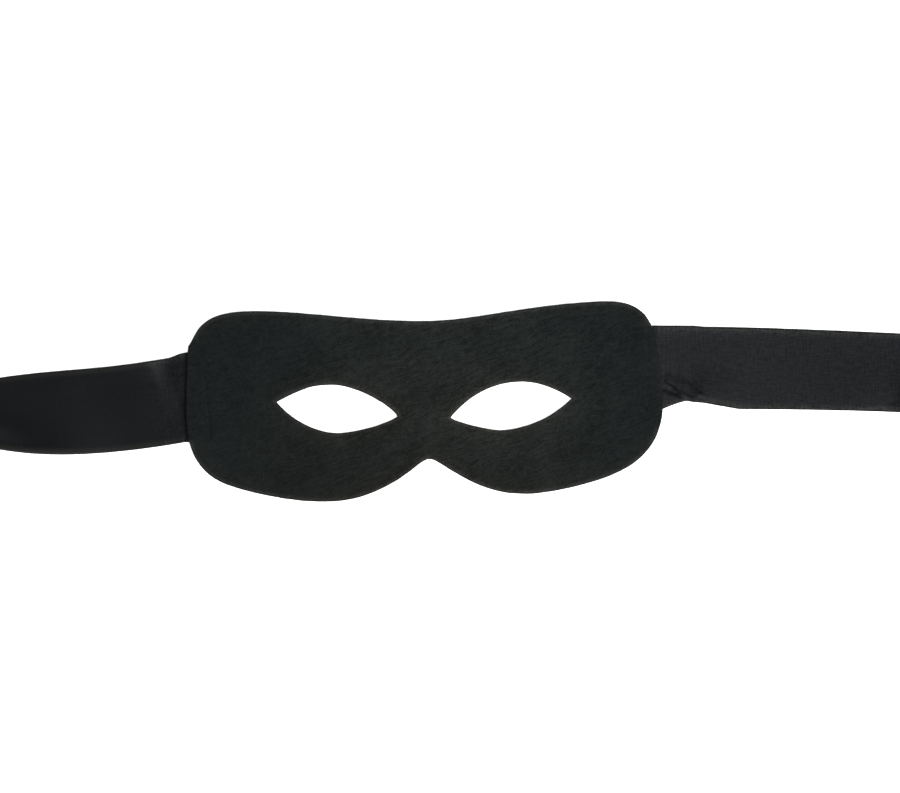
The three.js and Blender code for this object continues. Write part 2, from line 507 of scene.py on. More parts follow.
@dataclass(frozen=True)
class TieFinish:
    """Finely woven cloth with a slight sheen, on a UV map laid out in metres along and across it.

    Attributes:
        name: The material's name.
        mottle: How much darker the darkest and paler the palest threads are, as a share of the
            colour, beside the felt and further out.
        relief: How deep the weave is.
        worn: Where along the tie the one mottle gives way to the other.
        colour: The threads' own colour.
        tones: The tones that give the darkest and the palest threads.
        warp_pitch: The spacing of the threads that run along the tie.
        weft_pitch: The spacing of the threads that cross it.
        strayed: How far the threads stray from straight lines, as the texture's distortion.
        slub: How long the thicker stretches of a thread are, along and across.
        slub_breadth: How broad they are, as a share of the threads' spacing.
        slub_shares: The shares of the slubs across and along the tie in its unevenness.
        grains: How broad the specks of the fine grain and the tufts are.
        shares: The shares of the slubs, the fine grain, the tufts and the weave in the tone.
        relief_shares: The shares of the weave, the slubs, the fine grain and the tufts in the relief.
        rim: Where the paler band along the tie's edges starts and ends its fading.
        edge_highlight: The band's colour, paler and less blue: a painted highlight where the edges
            catch the light.
    """

    name: str
    mottle: Pair
    relief: float
    worn: Pair = (22.0, 34.0)
    colour: Colour = (0.0029, 0.0031, 0.0035, 1.0)
    tones: Pair = (0.34, 0.62)
    warp_pitch: float = 0.42
    weft_pitch: float = 0.50
    strayed: float = 0.5
    slub: Pair = (4.2, 3.4)
    slub_breadth: float = 1.2
    slub_shares: Pair = (0.46, 0.54)
    grains: Pair = (0.7, 1.7)
    shares: tuple[float, float, float, float] = (0.57, 0.26, 0.1, 0.07)
    relief_shares: tuple[float, float, float, float] = (0.3, 1.0, 0.25, 0.15)
    rim: Pair = (0.5, 2.6)
    edge_highlight: Colour = (0.0081, 0.0084, 0.0074, 1.0)

    def threads(self, graph: Graph, place: Socket, axis: str, pitch: float) -> Socket:
        """The rounded threads that follow one another along one axis, from 0 to 1.

        Args:
            graph: The material's tree.
            place: The coordinates along and across the tie, in metres.
            axis: X or Y, the axis that the threads follow one another along.
            pitch: Their spacing in millimetres.

        Returns:
            The height of the threads.
        """
        waves_in_unit = 20.0 / math.tau
        wave = graph.add("ShaderNodeTexWave", {
            "Vector": place,
            "Scale": 1.0 / (pitch * MM * waves_in_unit),
            "Distortion": self.strayed,
            "Detail": 0.0,
        }, wave_type="BANDS", bands_direction=axis)
        return wave.outputs[1]

    def material(self) -> Material:
        """Builds the material: warp over weft, threads of uneven thickness, faint soft patches, and a
        painted highlight along the edges.

        Returns:
            The material.
        """
        material, graph = new_material(self.name, {
            "Roughness": 0.5,
            "Specular IOR Level": 0.089,
            "Specular Tint": (0.89, 0.94, 1.0, 1.0),
        })
        place = graph.add("ShaderNodeUVMap", uv_map=CLOTH_MAP).outputs[0]
        weft = self.threads(graph, place, "X", self.weft_pitch)
        warp = self.threads(graph, place, "Y", self.warp_pitch)
        weave = graph.math("MULTIPLY", weft, warp)
        slub_along, slub_across = self.slub
        slubs = (
            graph.streaks(place, 90.0, slub_across, self.slub_breadth * self.weft_pitch),
            graph.streaks(place, 0.0, slub_along, self.slub_breadth * self.warp_pitch),
        )
        uneven = graph.mixture(*zip(slubs, self.slub_shares))
        fine, tufts = (graph.grain(place, size) for size in self.grains)
        tone = graph.mixture(*zip((uneven, fine, tufts, weave), self.shares))
        along = graph.add("ShaderNodeSeparateXYZ", {0: place}).outputs["X"]
        mottle = graph.spread(along, self.worn[0] * MM, self.worn[1] * MM, *self.mottle)
        shade = graph.math("MULTIPLY", graph.spread(tone, *self.tones, -1.0, 1.0), mottle)
        shade = graph.math("ADD", shade, 1.0)
        # Painted highlight: a paler band along both edges, where they catch the light.
        inside = graph.spread(graph.attribute(EDGE_DISTANCE), self.rim[0] * MM, self.rim[1] * MM)
        colour = graph.brighten(graph.blend(inside, self.edge_highlight, self.colour), shade)
        height = graph.mixture(*zip((weave, uneven, fine, tufts), self.relief_shares))
        dress_surface(graph, colour, graph.bump(height, self.relief))
        return material


@dataclass(frozen=True)
class ThreadFinish:
    """Twisted black sewing thread with a soft shine.

    Attributes:
        dark: The colour between the plies.
        light: The colour on top of them.
        tones: The tones that give the dark and the light colour.
        ply: How long and how broad a stretch of one ply shows.
        lay: The plies' direction, in degrees.
        relief: How deep the plies are.
    """

    dark: Colour = (0.0012, 0.0012, 0.0012, 1.0)
    light: Colour = (0.004, 0.0042, 0.0042, 1.0)
    tones: Pair = (0.35, 0.65)
    ply: Pair = (0.75, 0.25)
    lay: float = 35.0
    relief: float = 0.05

    def material(self) -> Material:
        """Builds the material: fine plies across each stitch.

        Returns:
            The material.
        """
        material, graph = new_material("thread", {"Roughness": 0.6, "Specular IOR Level": 0.04})
        place = graph.add("ShaderNodeTexCoord").outputs["Object"]
        plies = graph.streaks(place, self.lay, *self.ply)
        colour = graph.blend(graph.spread(plies, *self.tones), self.dark, self.light)
        dress_surface(graph, colour, graph.bump(plies, self.relief))
        return material


@dataclass(frozen=True)
class FibreFinish:
    """Loose felt fibres, each between charcoal and grey by its own paleness.

    Attributes:
        dark: The darkest fibres' colour.
        light: The palest fibres' colour.
        tones: The tones that give the dark and the light colour.
        speck: How broad the specks of the mottle along a fibre are.
        shares: The shares of the fibre's own paleness and the mottle in its tone.
        relief: How deep the mottle is.
    """

    dark: Colour = (0.0075, 0.0088, 0.0084, 1.0)
    light: Colour = (0.040, 0.044, 0.042, 1.0)
    tones: Pair = (0.1, 1.1)
    speck: float = 0.8
    shares: Pair = (0.85, 0.3)
    relief: float = 0.02

    def material(self) -> Material:
        """Builds the material from the number stored on each fibre, with a fine mottle along it.

        Returns:
            The material.
        """
        material, graph = new_material("felt_fibre", {"Roughness": 0.8, "Specular IOR Level": 0.05})
        place = graph.add("ShaderNodeTexCoord").outputs["Object"]
        mottle = graph.grain(place, self.speck)
        pale = graph.mixture(*zip((graph.attribute(PALENESS), mottle), self.shares))
        colour = graph.blend(graph.spread(pale, *self.tones), self.dark, self.light)
        dress_surface(graph, colour, graph.bump(mottle, self.relief))
        return material


@dataclass(frozen=True)
class TableFinish:
    """A plain pale matt tabletop with a glow of its own, so that hardly a shadow shows on it.

    Attributes:
        dark: The darker specks' colour.
        light: The paler specks' colour.
        glow: How strongly it glows.
        speck: How broad the specks are.
        relief: How deep they are.
    """

    dark: Colour = (0.88, 0.88, 0.88, 1.0)
    light: Colour = (0.92, 0.92, 0.92, 1.0)
    glow: float = 0.7
    speck: float = 3.0
    relief: float = 0.02

    def material(self) -> Material:
        """Builds the material: almost even, with a very faint grain.

        Returns:
            The material.
        """
        material, graph = new_material("table", {
            "Roughness": 0.9,
            "Specular IOR Level": 0.1,
            "Emission Color": WHITE,
            "Emission Strength": self.glow,
        })
        place = graph.add("ShaderNodeTexCoord").outputs["Object"]
        grain = graph.grain(place, self.speck)
        colour = graph.blend(grain, self.dark, self.light)
        dress_surface(graph, colour, graph.bump(grain, self.relief))
        return material


# Cut edges


@dataclass(frozen=True)
class Anchor:
    """A point that a cut edge passes.

    Attributes:
        at: Its place in millimetres.
        heading: The edge's direction there in degrees, in and out: the same unless it is a corner.
        reach: How far its two handles reach, back and on, in millimetres.
    """

    at: Pair
    heading: Pair
    reach: Pair

    def handle(self, onward: bool) -> np.ndarray:
        """The end of one of its handles.

        Args:
            onward: Whether it is the handle on the way out, rather than on the way in.

        Returns:
            The end's place in millimetres.
        """
        angle = math.radians(self.heading[onward])
        length = self.reach[onward] * (1 if onward else -1)
        return np.array(self.at) + length * np.array((math.cos(angle), math.sin(angle)))


def smooth_anchor(x: float, y: float, heading: float, back: float, on: float) -> Anchor:
    """An anchor that the edge passes without a corner."""
    return Anchor((x, y), (heading, heading), (back, on))


def draw_edge(anchors: list[Anchor], spacing: float) -> np.ndarray:
    """The closed edge through some anchors.

    Args:
        anchors: The anchors in order.
        spacing: About how far apart its points lie, in millimetres.

    Returns:
        Its points, one row each, without a repeated last point.
    """
    runs = []
    for first, last in zip(anchors, anchors[1:] + anchors[:1]):
        knots = [np.array(first.at), first.handle(True), last.handle(False), np.array(last.at)]
        length = sum(np.linalg.norm(b - a) for a, b in zip(knots, knots[1:]))
        share = np.linspace(0.0, 1.0, max(3, round(length / spacing)), endpoint=False)[:, None]
        rest = 1.0 - share
        runs.append(rest**3 * knots[0] + 3 * rest**2 * share * knots[1]
                    + 3 * rest * share**2 * knots[2] + share**3 * knots[3])
    return np.vstack(runs)


def step_aside(loop: np.ndarray, distance: float | np.ndarray) -> np.ndarray:
    """A closed loop moved to the right of its own direction.

    Args:
        loop: Its points, one row each.
        distance: How far it moves, in millimetres, everywhere or point by point.

    Returns:
        The moved points.
    """
    ahead = np.roll(loop, -1, axis=0) - loop
    ahead /= np.linalg.norm(ahead, axis=1)[:, None]
    along = ahead + np.roll(ahead, 1, axis=0)
    along /= np.linalg.norm(along, axis=1)[:, None]
    # A sharp corner moves at most twice the distance.
    stretch = np.clip(np.sum(along * ahead, axis=1), 0.5, 1.0)
    away = np.stack((along[:, 1], -along[:, 0]), axis=1)
    return loop + (distance / stretch)[:, None] * away


def is_inside(points: np.ndarray, loops: list[np.ndarray]) -> np.ndarray:
    """Which points lie inside an odd number of closed loops.

    Args:
        points: The points, one row each.
        loops: The loops' points, one row each.

    Returns:
        Whether each point does.
    """
    inside = np.zeros(len(points), bool)
    for loop in loops:
        after = np.roll(loop, -1, axis=0)
        for (ax, ay), (bx, by) in zip(loop, after):
            if ay == by:
                continue
            crosses = (ay > points[:, 1]) != (by > points[:, 1])
            inside ^= crosses & (points[:, 0] < ax + (bx - ax) * (points[:, 1] - ay) / (by - ay))
    return inside


# The felt


@dataclass
class FeltMask:
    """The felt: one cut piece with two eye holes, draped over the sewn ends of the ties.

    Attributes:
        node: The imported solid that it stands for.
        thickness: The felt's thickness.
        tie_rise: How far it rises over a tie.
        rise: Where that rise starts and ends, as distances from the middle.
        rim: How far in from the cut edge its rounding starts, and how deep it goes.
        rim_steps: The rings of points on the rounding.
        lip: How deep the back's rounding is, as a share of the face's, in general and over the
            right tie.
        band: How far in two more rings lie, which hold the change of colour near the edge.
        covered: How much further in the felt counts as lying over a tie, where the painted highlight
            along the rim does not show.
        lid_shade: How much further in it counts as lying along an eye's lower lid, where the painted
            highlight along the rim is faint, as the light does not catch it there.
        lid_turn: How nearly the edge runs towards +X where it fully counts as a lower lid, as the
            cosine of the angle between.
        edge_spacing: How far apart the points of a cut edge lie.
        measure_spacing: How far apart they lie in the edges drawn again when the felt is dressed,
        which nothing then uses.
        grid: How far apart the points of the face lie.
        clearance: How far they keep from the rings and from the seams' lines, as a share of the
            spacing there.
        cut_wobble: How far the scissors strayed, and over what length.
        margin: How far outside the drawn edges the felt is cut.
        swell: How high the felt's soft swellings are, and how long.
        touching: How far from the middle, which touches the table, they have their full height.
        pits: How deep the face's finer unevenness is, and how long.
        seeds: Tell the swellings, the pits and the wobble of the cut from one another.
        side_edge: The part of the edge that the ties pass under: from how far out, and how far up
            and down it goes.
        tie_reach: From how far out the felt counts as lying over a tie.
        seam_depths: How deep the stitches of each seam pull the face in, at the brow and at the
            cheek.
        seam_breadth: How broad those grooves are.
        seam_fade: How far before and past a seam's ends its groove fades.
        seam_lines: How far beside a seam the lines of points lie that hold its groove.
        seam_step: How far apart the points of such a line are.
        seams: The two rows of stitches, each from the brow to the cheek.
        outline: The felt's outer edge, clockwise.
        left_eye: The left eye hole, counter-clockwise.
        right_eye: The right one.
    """

    node: str = "felt_mask"
    thickness: float = 2.0
    tie_rise: float = 1.1
    rise: Pair = (58.0, 71.0)
    rim: Pair = (0.8, 0.65)
    rim_steps: int = 6
    lip: Pair = (0.4, 1.5)
    band: Pair = (1.2, 1.8)
    covered: float = 3.0
    lid_shade: float = 0.4
    lid_turn: float = 0.6
    edge_spacing: float = 0.8
    measure_spacing: float = 1.0
    grid: float = 1.4
    clearance: float = 0.6
    cut_wobble: Pair = (0.09, 3.5)
    margin: float = 0.17
    swell: Pair = (0.25, 38.0)
    touching: float = 12.0
    pits: Pair = (0.06, 8.0)
    seeds: tuple[float, float, float] = (3.0, 5.0, 11.0)
    side_edge: Pair = (78.0, 32.0)
    tie_reach: float = 80.0
    seam_depths: tuple[Pair, ...] = ((0.10, 0.38), (0.15, 0.15))
    seam_breadth: float = 0.55
    seam_fade: float = 1.0
    seam_lines: tuple[float, ...] = (-1.4, -0.8, -0.4, 0.0, 0.4, 0.8, 1.4)
    seam_step: float = 0.5
    seams: tuple[tuple[Pair, Pair], ...] = (
        ((-83.7, 21.0), (-81.7, -11.5)),
        ((85.6, 25.5), (84.0, -5.5)),
    )
    outline: list[Anchor] = field(default_factory=lambda: [
        Anchor((-89.2, 23.4), (84.5, 50), (5.1, 6)),
        smooth_anchor(-66.2, 36, 0, 19.5, 20),
        smooth_anchor(3.4, 30.4, 0, 24, 17),
        smooth_anchor(68.4, 36, 0, 25, 13.5),
        smooth_anchor(85.8, 27.8, -59, 3, 5),
        smooth_anchor(90, -2, -90, 7, 10.5),
        smooth_anchor(79, -25, -144, 8.5, 13),
        smooth_anchor(38.8, -36, 180, 7, 5.5),
        smooth_anchor(14, -29.2, 149, 12.5, 11.5),
        smooth_anchor(0.8, -21.8, 180, 2.5, 2.5),
        smooth_anchor(-12.2, -29.8, -151, 7, 14.5),
        smooth_anchor(-39.8, -36.8, 180, 7.5, 13),
        smooth_anchor(-78, -28.4, 152, 6, 10.3),
        smooth_anchor(-90.7, 0.2, 88, 15.8, 12.9),
    ])
    left_eye: list[Anchor] = field(default_factory=lambda: [
        Anchor((-56.6, 1.4), (-153, -54), (14, 7)),
        smooth_anchor(-33.2, -11.2, 0, 9.5, 7.5),
        Anchor((-10.6, -5.4), (40, 110), (3.5, 4)),
        smooth_anchor(-35.6, 7.4, 180, 9.5, 5.5),
    ])
    right_eye: list[Anchor] = field(default_factory=lambda: [
        Anchor((9.2, -6.4), (-132, -44), (11.5, 3)),
        smooth_anchor(27.8, -11.8, 0, 3, 11.5),
        Anchor((55.8, -0.4), (43, 146), (9, 10.5)),
        smooth_anchor(36, 6.6, 180, 4.5, 10.5),
    ])

    def underside(self, x: np.ndarray, y: np.ndarray) -> np.ndarray:
        """Height of the felt's back: near the table in its middle, and up over the ties.

        Args:
            x: First coordinates.
            y: Second coordinates.

        Returns:
            The height at each place.
        """
        swell, length = self.swell
        lift = 0.5 * swell * (1.0 + ripple(x, y, length, self.seeds[0]))
        off_middle = smoothstep(np.hypot(x, y), 0.0, self.touching)
        return self.tie_rise * smoothstep(np.abs(x), *self.rise) + lift * off_middle

    def face(self, x: np.ndarray, y: np.ndarray) -> np.ndarray:
        """Height of the felt's face, pulled in along each seam.

        Args:
            x: First coordinates.
            y: Second coordinates.

        Returns:
            The height at each place.
        """
        pit, length = self.pits
        height = self.underside(x, y) + self.thickness + pit * ripple(x, y, length, self.seeds[1])
        fade = self.seam_fade
        for (start, end), (at_brow, at_cheek) in zip(self.seams, self.seam_depths):
            along, aside, run = beside_line(x, y, start, end)
            depth = at_brow + (at_cheek - at_brow) * smoothstep(along, 0.0, run)
            ends = smoothstep(along, -fade, fade) * (1.0 - smoothstep(along, run - fade, run + fade))
            height = height - depth * ends * np.exp(-((aside / self.seam_breadth) ** 2))
        return height

    def beyond(self, x: np.ndarray, y: np.ndarray, side: Side) -> np.ndarray:
        """How far places lie beyond the felt's edge on one side.

        Args:
            x: First coordinates.
            y: Second coordinates.
            side: The side.

        Returns:
            The distance along X, which is negative under the felt.
        """
        outer, high = self.side_edge
        edge = draw_edge(self.outline, self.edge_spacing)
        edge = edge[(side.value * edge[:, 0] > outer) & (np.abs(edge[:, 1]) < high)]
        edge = edge[np.argsort(edge[:, 1])]
        return side.value * (x - np.interp(y, edge[:, 1], edge[:, 0]))

    def over_tie(self, x: np.ndarray, y: np.ndarray) -> np.ndarray:
        """How surely places lie where the felt's edge crosses a tie.

        Args:
            x: First coordinates.
            y: Second coordinates.

        Returns:
            0 away from the ties, and up to 1 over them.
        """
        fade = self.seam_fade
        crossing = np.zeros_like(x)
        for (_, brow), (_, cheek) in self.seams:
            above_cheek = smoothstep(y, cheek - fade, cheek + fade)
            above_brow = smoothstep(y, brow - fade, brow + fade)
            crossing = np.maximum(crossing, above_cheek * (1.0 - above_brow))
        return crossing * (np.abs(x) > self.tie_reach)

    def cut_loops(self) -> list[np.ndarray]:
        """Draws the edges as they are cut.

        Returns:
            The outline and both eye holes, each with the felt on its right.
        """
        wobble, length = self.cut_wobble
        loops = []
        for number, anchors in enumerate((self.outline, self.left_eye, self.right_eye)):
            loop = draw_edge(anchors, self.edge_spacing)
            stray = wobble * ripple(loop[:, 0], loop[:, 1], length, self.seeds[2] + number)
            loops.append(step_aside(loop, stray - self.margin))
        return loops

    def lower_lids(self, loops: list[np.ndarray]) -> np.ndarray:
        """How surely points lie on an eye's lower lid, where the edge runs towards +X.

        Args:
            loops: The cut loops.

        Returns:
            A value from 0 to 1 for each of their points.
        """
        outline, *eyes = loops
        shares = [np.zeros(len(outline))]
        for eye in eyes:
            ahead = np.roll(eye, -1, axis=0) - eye
            cosines = ahead[:, 0] / np.linalg.norm(ahead, axis=1)
            shares.append(smoothstep(cosines, 0.0, self.lid_turn))
        return np.concatenate(shares)

    def rings(self) -> list[Pair]:
        """Sets out the rings of points along a cut edge.

        Returns:
            How far in and how far down each ring lies, from the innermost to the wall.
        """
        breadth, depth = self.rim
        turns = np.linspace(0.0, 0.5 * math.pi, self.rim_steps)
        rounding = [(breadth * (1.0 - math.sin(t)), depth * (1.0 - math.cos(t))) for t in turns]
        return [(inset, 0.0) for inset in reversed(self.band)] + rounding

    def beside_seams(self, lattice: np.ndarray) -> np.ndarray:
        """The lattice's points, but along each seam lines of closer ones that hold its groove.

        Args:
            lattice: Points, one row each.

        Returns:
            The points to use instead.
        """
        reach = max(self.seam_lines) + self.clearance * self.seam_step
        for start, end in self.seams:
            along, aside, run = beside_line(*lattice.T, start, end)
            near = (np.abs(aside) < reach) & (along > -reach) & (along < run + reach)
            ahead = (np.array(end) - start) / run
            right = ahead[::-1] * (1.0, -1.0)
            steps = np.arange(-self.seam_fade, run + self.seam_fade, self.seam_step)[:, None]
            lines = [start + steps * ahead + offset * right for offset in self.seam_lines]
            lattice = np.vstack((lattice[~near], *lines))
        return lattice

    def fill(self, innermost: list[np.ndarray]) -> tuple[np.ndarray, list[Face]]:
        """Fills the felt inside its innermost rings.

        Args:
            innermost: The innermost ring of each cut loop.

        Returns:
            The points, the rings' own first and in order, and the triangles.
        """
        low, high = innermost[0].min(axis=0), innermost[0].max(axis=0)
        x, y = np.meshgrid(*(np.arange(low[i], high[i], self.grid) for i in (0, 1)))
        x[1::2] += 0.5 * self.grid
        lattice = self.beside_seams(np.stack((x.ravel(), y.ravel()), axis=1))
        clear = [step_aside(ring, self.clearance * self.grid) for ring in innermost]
        points = np.vstack((*innermost, lattice[is_inside(lattice, clear)]))
        knots = [Vector(point) for point in points]
        edges = self.ring_edges(innermost)
        _, _, faces, sources, _, _ = delaunay_2d_cdt(knots, edges, [], 0, SAME_PLACE)
        own = [source[0] for source in sources]
        triangles = np.array([[own[i] for i in face] for face in faces])
        kept = triangles[is_inside(points[triangles].mean(axis=1), innermost)]
        return points, [tuple(face) for face in kept.tolist()]

    def from_edge(self, plane: np.ndarray, loops: list[np.ndarray],
                  insets: tuple[float, ...]) -> np.ndarray:
        """How far in from a cut edge the points of one side count as lying, for their colour.

        Args:
            plane: The points that the filling gave.
            loops: The cut loops.
            insets: How far in each ring after the innermost lies.

        Returns:
            The distance of each point, with a little more beside an eye's lower lid, where the painted
            highlight is fainter.
        """
        lids = self.lower_lids(loops)
        away = np.linalg.norm(plane[:, None] - np.vstack(loops), axis=2)
        inset = np.concatenate((away.min(axis=1), np.repeat(insets, len(lids))))
        faint = np.concatenate((lids[away.argmin(axis=1)], np.tile(lids, len(insets))))
        return inset + self.lid_shade * faint

    def build(self) -> Piece:
        """Builds the felt's mesh: face, back, rounded rims and cut walls.

        Returns:
            The felt's piece.
        """
        loops = self.cut_loops()
        profile = self.rings()
        layers = [[step_aside(loop, inset) for loop in loops] for inset, _ in profile]
        plane, faces = self.fill(layers[0])
        flat = np.vstack((plane, *(np.vstack(layer) for layer in layers[1:])))
        insets, drops = zip(*profile[1:])
        ring_size = sum(len(loop) for loop in loops)
        drop = np.concatenate((np.zeros(len(plane)), np.repeat(drops, ring_size)))
        starts = [0] + [len(plane) + i * ring_size for i in range(len(insets))]
        edges = self.ring_edges(loops)
        for inner, outer in zip(starts, starts[1:]):
            faces += [(inner + a, outer + a, outer + b, inner + b) for a, b in edges]
        faces = self.turned_up(flat, faces)
        x, y = flat.T
        crossing = self.over_tie(x, y)
        lip = self.lip[0] + (self.lip[1] - self.lip[0]) * crossing * (x > 0.0)
        top = np.column_stack((flat, self.face(x, y) - drop))
        bottom = np.column_stack((flat, self.underside(x, y) + lip * drop))
        under = len(flat)
        wall = starts[-1]
        shell = faces + [tuple(under + i for i in reversed(face)) for face in faces]
        shell += [(wall + b, wall + a, under + wall + a, under + wall + b) for a, b in edges]
        mesh = smooth_mesh("felt", np.vstack((top, bottom)), shell)
        # The stored distance also sets the painted highlight along the cut edges: fainter on the lower
        # lids, and gone where the felt crosses a tie.
        inset = self.from_edge(plane, loops, insets) + self.covered * crossing
        add_point_values(mesh, EDGE_DISTANCE, np.concatenate((inset, inset)) * MM)
        return new_piece("mask_felt", mesh)

    @staticmethod
    def ring_edges(loops: list[np.ndarray]) -> list[tuple[int, int]]:
        """Numbers the edges of one ring round every loop.

        Args:
            loops: The loops, for how many points each has.

        Returns:
            The numbers of the points at both ends of each edge, counted from the ring's first.
        """
        edges = []
        start = 0
        for loop in loops:
            edges += [(start + i, start + (i + 1) % len(loop)) for i in range(len(loop))]
            start += len(loop)
        return edges

    @staticmethod
    def turned_up(points: np.ndarray, faces: list[Face]) -> list[Face]:
        """Turns the faces that look down.

        Args:
            points: The points in the plane, one row each.
            faces: The numbers of each face's points.

        Returns:
            The faces, all counter-clockwise from above.
        """
        turned = []
        for face in faces:
            a, b, c = (points[i] for i in face[:3])
            turned.append(face if np.cross(b - a, c - a) > 0 else tuple(reversed(face)))
        return turned

    def dress(self, piece: Piece, material: Material) -> None:
        """Gives the felt its finish and its place on the frame.

        Args:
            piece: The felt's piece.
            material: Its finish.
        """
        piece.data.materials.append(material)
        edges = (self.outline, self.left_eye, self.right_eye)
        outline, left, right = (draw_edge(anchors, self.measure_spacing) for anchors in edges)
        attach(piece, BODY)
        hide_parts(self.node)


# The ties


@dataclass(frozen=True)
class Fold:
    """A straight fold or crease in flat cloth.

    Attributes:
        start: One end of its line, in the plane of the mask.
        end: The other end.
        height: How high it stands, or how deep it lies if negative.
        right: How far it reaches to the right of its line.
        left: How far it reaches to the left.
        start_fade: How soon it gains its height at the start.
        end_fade: How soon it loses it at the end.
        flank: How its right side falls away.
    """

    start: Pair
    end: Pair
    height: float
    right: float
    left: float
    start_fade: float = 2.0
    end_fade: float = 4.0
    flank: Flank = Flank.SOFT

    def lift(self, x: np.ndarray, y: np.ndarray) -> np.ndarray:
        """How high the fold stands.

        Args:
            x: First coordinates.
            y: Second coordinates.

        Returns:
            The height at each place.
        """
        along, aside, run = beside_line(x, y, self.start, self.end)
        ends = smoothstep(along, 0.0, self.start_fade)
        ends = ends * (1.0 - smoothstep(along, run - self.end_fade, run))
        right = self.flank.share(aside / self.right)
        left = Flank.SOFT.share(-aside / self.left)
        return self.height * ends * np.where(aside > 0, right, left)


